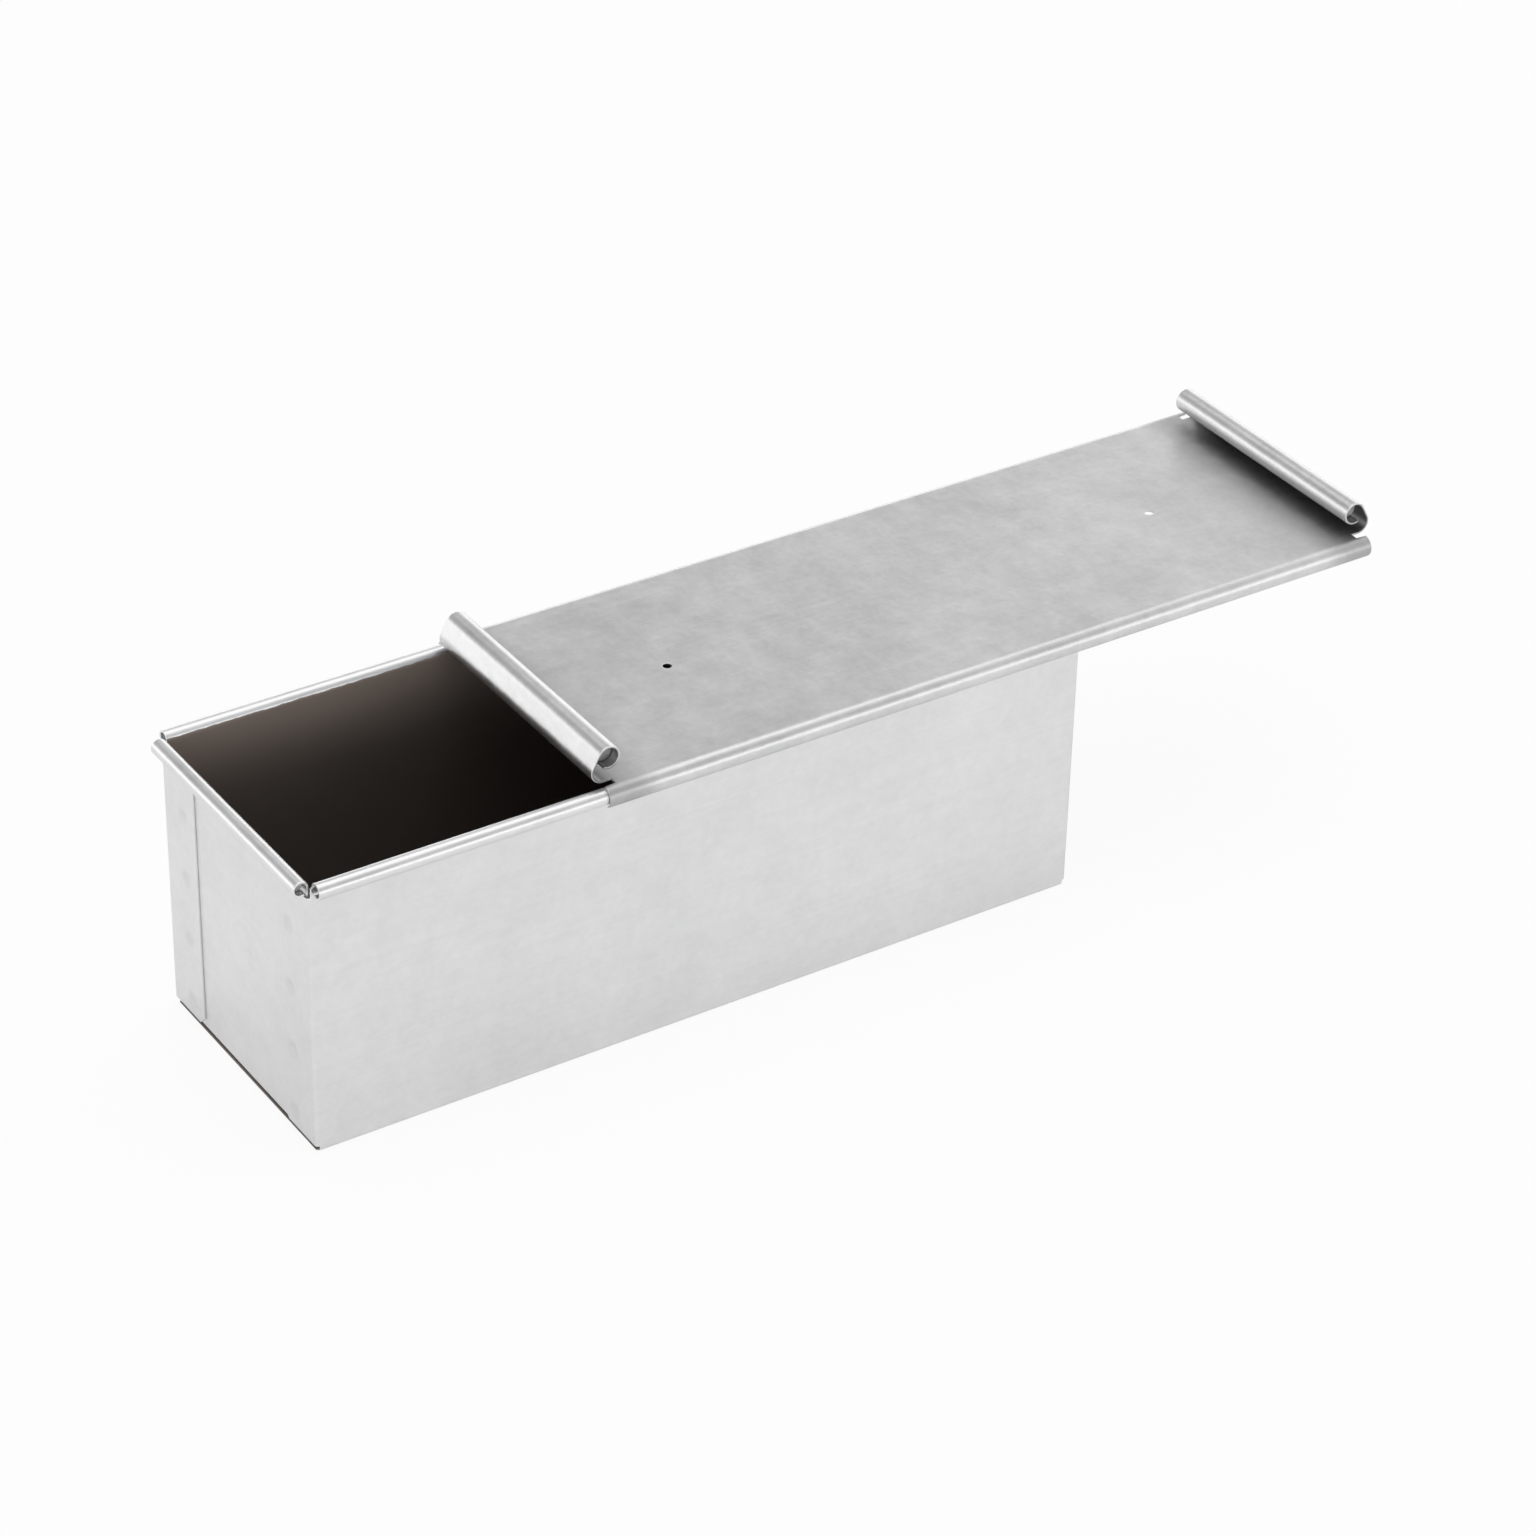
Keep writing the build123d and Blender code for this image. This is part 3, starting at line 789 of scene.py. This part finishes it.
def sheet_finish(name, steel, grain, colours, coated):
    """Satin aluminised sheet: cloudy tone, fine spangle and rolling grain, dull weld spots, bright cut edges,
    painted shade on the lid near its raised ends, and inside the pan a dark coating that ends in a slightly uneven
    line round the rims and is painted lighter towards that line, a painted light. Reliefs are in metres."""
    f = Finish(bpy.data.materials.new(name))
    cloud = f.noise(17, 3, 0.55)
    spangle = f.noise(330, 3, 0.6)
    blotch = f.noise(95, 4, 0.65)
    streak = f.noise(1, 3, 0.6, grain)
    fine = f.noise(1500)
    weld = f.mark("weld")
    edge = f.mark("edge")
    spot = f.step(weld, 1.5 * MILLIMETRE, 2.2 * MILLIMETRE, 1, 0)
    halo = f.step(weld, 2.0 * MILLIMETRE, 4.5 * MILLIMETRE, 1, 0) * (1 - spot)
    bright = f.step(edge, 0.1 * MILLIMETRE, 0.5 * MILLIMETRE, 1, 0)
    mottle = 1.0 if coated else colours.lid_mottle
    patches = cloud * 0.9 + spangle * 0.7 + blotch * 0.9
    light = 0.5 + patches * mottle + streak * 0.5 - spot * 0.8 - halo * 0.45 + bright * 0.3
    steel_tone = f.mix(light, tone(steel, 0.93), tone(steel, 1.07))
    # Painted shade: where the mesh's mark says so, the bare sheet darkens to a fifth of its tone and gets rougher.
    painted_shade = f.mark("painted_shade")
    steel_tone = f.mix(painted_shade * 0.85, steel_tone, tone(steel, 0.2))
    steel_rough = colours.satin + painted_shade * 0.12 + cloud * 0.1 + blotch * 0.12 + streak * 0.1 + spot * 0.08
    relief = streak * 0.00002 + spangle * 0.00004 + cloud * 0.0008 + fine * 0.000004 + blotch * (0.00006 * mottle)
    if not coated:
        return f.done(base_color=steel_tone, metallic=1.0, roughness=steel_rough, normal=f.bump(relief))
    drift = f.noise(260)
    orange_peel = f.noise(900)
    coat = f.mark("coat") + drift * 0.0009
    mask = f.step(coat, -0.1 * MILLIMETRE, 0.1 * MILLIMETRE)
    bare = 1 - mask
    coat_tone = f.mix(cloud + 0.5, tone(colours.coating, 0.8), tone(colours.coating, 1.2))
    # Painted light: the coating is lighter towards its edge at the rims, fading over 32 mm down the walls.
    coat_tone = f.mix(f.step(coat, 0, 32 * MILLIMETRE), tone(colours.coating, 2.0), coat_tone)
    base = f.mix(mask, steel_tone, coat_tone)
    rough = steel_rough * bare + (colours.coating_satin + cloud * 0.12) * mask
    relief = relief * bare + (orange_peel * 0.00003 + cloud * 0.0006) * mask
    return f.done(base_color=base, metallic=bare, roughness=rough, normal=f.bump(relief))


def wire_finish(name, steel, grain):
    """Dull drawn wire: lengthwise drawing lines and a patchy grey tone."""
    f = Finish(bpy.data.materials.new(name))
    line = f.noise(1, stretch=grain)
    patch = f.noise(120, 3, 0.6)
    light = 0.5 + line * 0.8 + patch * 0.9
    rough = 0.42 + patch * 0.2 + line * 0.1
    base = f.mix(light, tone(steel, 0.8), tone(steel, 1.15))
    return f.done(base_color=base, metallic=1.0, roughness=rough, normal=f.bump(line * 0.00003))


class LOAFPAN_OT_trough(bpy.types.Operator):
    """Builds the floor, long walls, long rims and corner flaps as one folded sheet"""

    bl_idname = "loafpan.trough"
    bl_label = "Build Trough"

    def execute(self, context):
        sizes, colours = context.scene.loafpan_sizes, context.scene.loafpan_colours
        material = sheet_finish("pan_sheet_lengthwise", colours.pan_steel, (9, 900, 900), colours, True)
        build_trough(sizes, colours, material)
        return {"FINISHED"}


class LOAFPAN_OT_end_walls(bpy.types.Operator):
    """Builds the two end walls with their feet and rolled rims"""

    bl_idname = "loafpan.end_walls"
    bl_label = "Build End Walls"

    def execute(self, context):
        sizes, colours = context.scene.loafpan_sizes, context.scene.loafpan_colours
        material = sheet_finish("pan_sheet_crosswise", colours.pan_steel, (900, 9, 900), colours, True)
        for side, end in ((-1, "left_end"), (1, "right_end")):
            build_end_wall(sizes, colours, material, side, f"{end}_sheet", f"{end}_wall")
        return {"FINISHED"}


class LOAFPAN_OT_lid(bpy.types.Operator):
    """Builds the lid with its curled sides, vents and raised rolled ends"""

    bl_idname = "loafpan.lid"
    bl_label = "Build Lid"

    def execute(self, context):
        sizes, colours = context.scene.loafpan_sizes, context.scene.loafpan_colours
        material = sheet_finish("lid_sheet_lengthwise", colours.lid_steel, (9, 900, 900), colours, False)
        build_lid(sizes, material)
        return {"FINISHED"}


class LOAFPAN_OT_wires(bpy.types.Operator):
    """Gives the six stiffening wires of the frame their finish"""

    bl_idname = "loafpan.wires"
    bl_label = "Finish Wires"

    def execute(self, context):
        steel = context.scene.loafpan_colours.wire_steel
        lengthwise = wire_finish("wire_lengthwise", steel, (12, 2500, 2500))
        crosswise = wire_finish("wire_crosswise", steel, (2500, 12, 2500))
        for name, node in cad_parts.items():
            if name.endswith("_wire"):
                along_x = name in ("front_rim_wire", "back_rim_wire")
                node.data.materials.clear()
                node.data.materials.append(lengthwise if along_x else crosswise)
        return {"FINISHED"}


class LOAFPAN_OT_stage(bpy.types.Operator):
    """Sets up the pale floor, the surroundings, the soft lamp and the camera"""

    bl_idname = "loafpan.stage"
    bl_label = "Set Up Stage"

    def execute(self, context):
        studio, scene = context.scene.loafpan_studio, context.scene
        scene.view_settings.view_transform = "Standard"
        make_floor(studio)
        make_surroundings(scene, studio)
        make_lamp(scene, studio)
        camera = bpy.data.objects.new("camera", bpy.data.cameras.new("camera"))
        camera.data.lens = studio.lens
        camera.location = studio.camera_place
        camera.rotation_euler = Euler(studio.camera_turn, "XYZ")
        scene.collection.objects.link(camera)
        scene.camera = camera
        return {"FINISHED"}


def make_floor(studio):
    """A wide plain floor just under the pan. What the camera and the metal see of it is part white, so that it
    keeps only a faint shadow."""
    reach, level = 6.0, -0.05 * MILLIMETRE
    mesh = bpy.data.meshes.new("floor")
    corners = [(-reach, -reach, level), (reach, -reach, level), (reach, reach, level), (-reach, reach, level)]
    mesh.from_pydata(corners, [], [(0, 1, 2, 3)])
    f = Finish(bpy.data.materials.new("pale_floor"))
    plain = f.node("ShaderNodeBsdfDiffuse", inputs={"Color": tone((1, 1, 1), studio.floor_tone)})
    white = f.node("ShaderNodeEmission", inputs={"Color": (1, 1, 1, 1), "Strength": 1.0})
    camera, glossy, clear = (f.node("ShaderNodeLightPath", output=f"Is {ray} Ray") for ray in RAYS)
    share = camera * studio.floor_glow + (glossy + clear) * studio.mirrored_glow
    surface = f.node("ShaderNodeMixShader", inputs={0: share, 1: plain, 2: white})
    f.node("ShaderNodeOutputMaterial", inputs={"Surface": surface})
    mesh.materials.append(f.owner)
    floor = bpy.data.objects.new("floor", mesh)
    bpy.context.scene.collection.objects.link(floor)


def make_surroundings(scene, studio):
    """A pale studio: white low down all round, dull walls above that, a lighter wall to the right and a lighter
    ceiling. The bands are ends of smooth steps over the parts of the direction looked in."""
    sweep_band, right_band, ceiling_band = (0.16, 0.46), (0.3, 0.75), (0.62, 0.92)
    f = Finish(bpy.data.worlds.new("studio"), "Generated")
    across, height = (f.node("ShaderNodeSeparateXYZ", inputs={"Vector": f.place}, output=axis) for axis in "XZ")
    low = f.step(height, *sweep_band, studio.horizon_level - studio.wall_level, 0)
    right = f.step(across, *right_band, 0, studio.right_level) * f.step(height, *sweep_band)
    above = f.step(height, *ceiling_band, 0, studio.ceiling_level)
    level = low + right + above + studio.wall_level
    background = f.node("ShaderNodeBackground", inputs={"Color": (1, 1, 1, 1), "Strength": level})
    f.node("ShaderNodeOutputWorld", inputs={"Surface": background})
    scene.world = f.owner


def make_lamp(scene, studio):
    """One wide soft lamp overhead, aimed at the pan."""
    place, width, depth = (-0.1, 0.1, 2.1), 3.0, 2.2
    data = bpy.data.lights.new("key_lamp", "AREA")
    data.shape, data.size, data.size_y, data.energy = "RECTANGLE", width, depth, studio.key_lamp
    lamp = bpy.data.objects.new("key_lamp", data)
    lamp.location = place
    lamp.rotation_euler = (-lamp.location).to_track_quat("-Z", "Y").to_euler()
    scene.collection.objects.link(lamp)


class LOAFPAN_PT_panel(bpy.types.Panel):
    """Lists the steps that dress the loaf pan"""

    bl_idname = "LOAFPAN_PT_panel"
    bl_label = "Loaf Pan"
    bl_space_type = "VIEW_3D"
    bl_region_type = "UI"
    bl_category = "Loaf Pan"

    def draw(self, context):
        for operator in STEPS:
            self.layout.operator(operator.bl_idname)


STEPS = (LOAFPAN_OT_trough, LOAFPAN_OT_end_walls, LOAFPAN_OT_lid, LOAFPAN_OT_wires, LOAFPAN_OT_stage)
SETTINGS = {"loafpan_sizes": SheetSizes, "loafpan_colours": FinishColours, "loafpan_studio": StudioSettings}
CLASSES = (*SETTINGS.values(), *STEPS, LOAFPAN_PT_panel)


def register():
    for cls in CLASSES:
        bpy.utils.register_class(cls)
    for name, group in SETTINGS.items():
        setattr(bpy.types.Scene, name, bpy.props.PointerProperty(type=group))


def unregister():
    for name in SETTINGS:
        delattr(bpy.types.Scene, name)
    for cls in reversed(CLASSES):
        bpy.utils.unregister_class(cls)


def main():
    """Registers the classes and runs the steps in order."""
    register()
    bpy.ops.loafpan.trough()
    bpy.ops.loafpan.end_walls()
    bpy.ops.loafpan.lid()
    bpy.ops.loafpan.wires()
    bpy.ops.loafpan.stage()


if __name__ == "__main__":
    main()
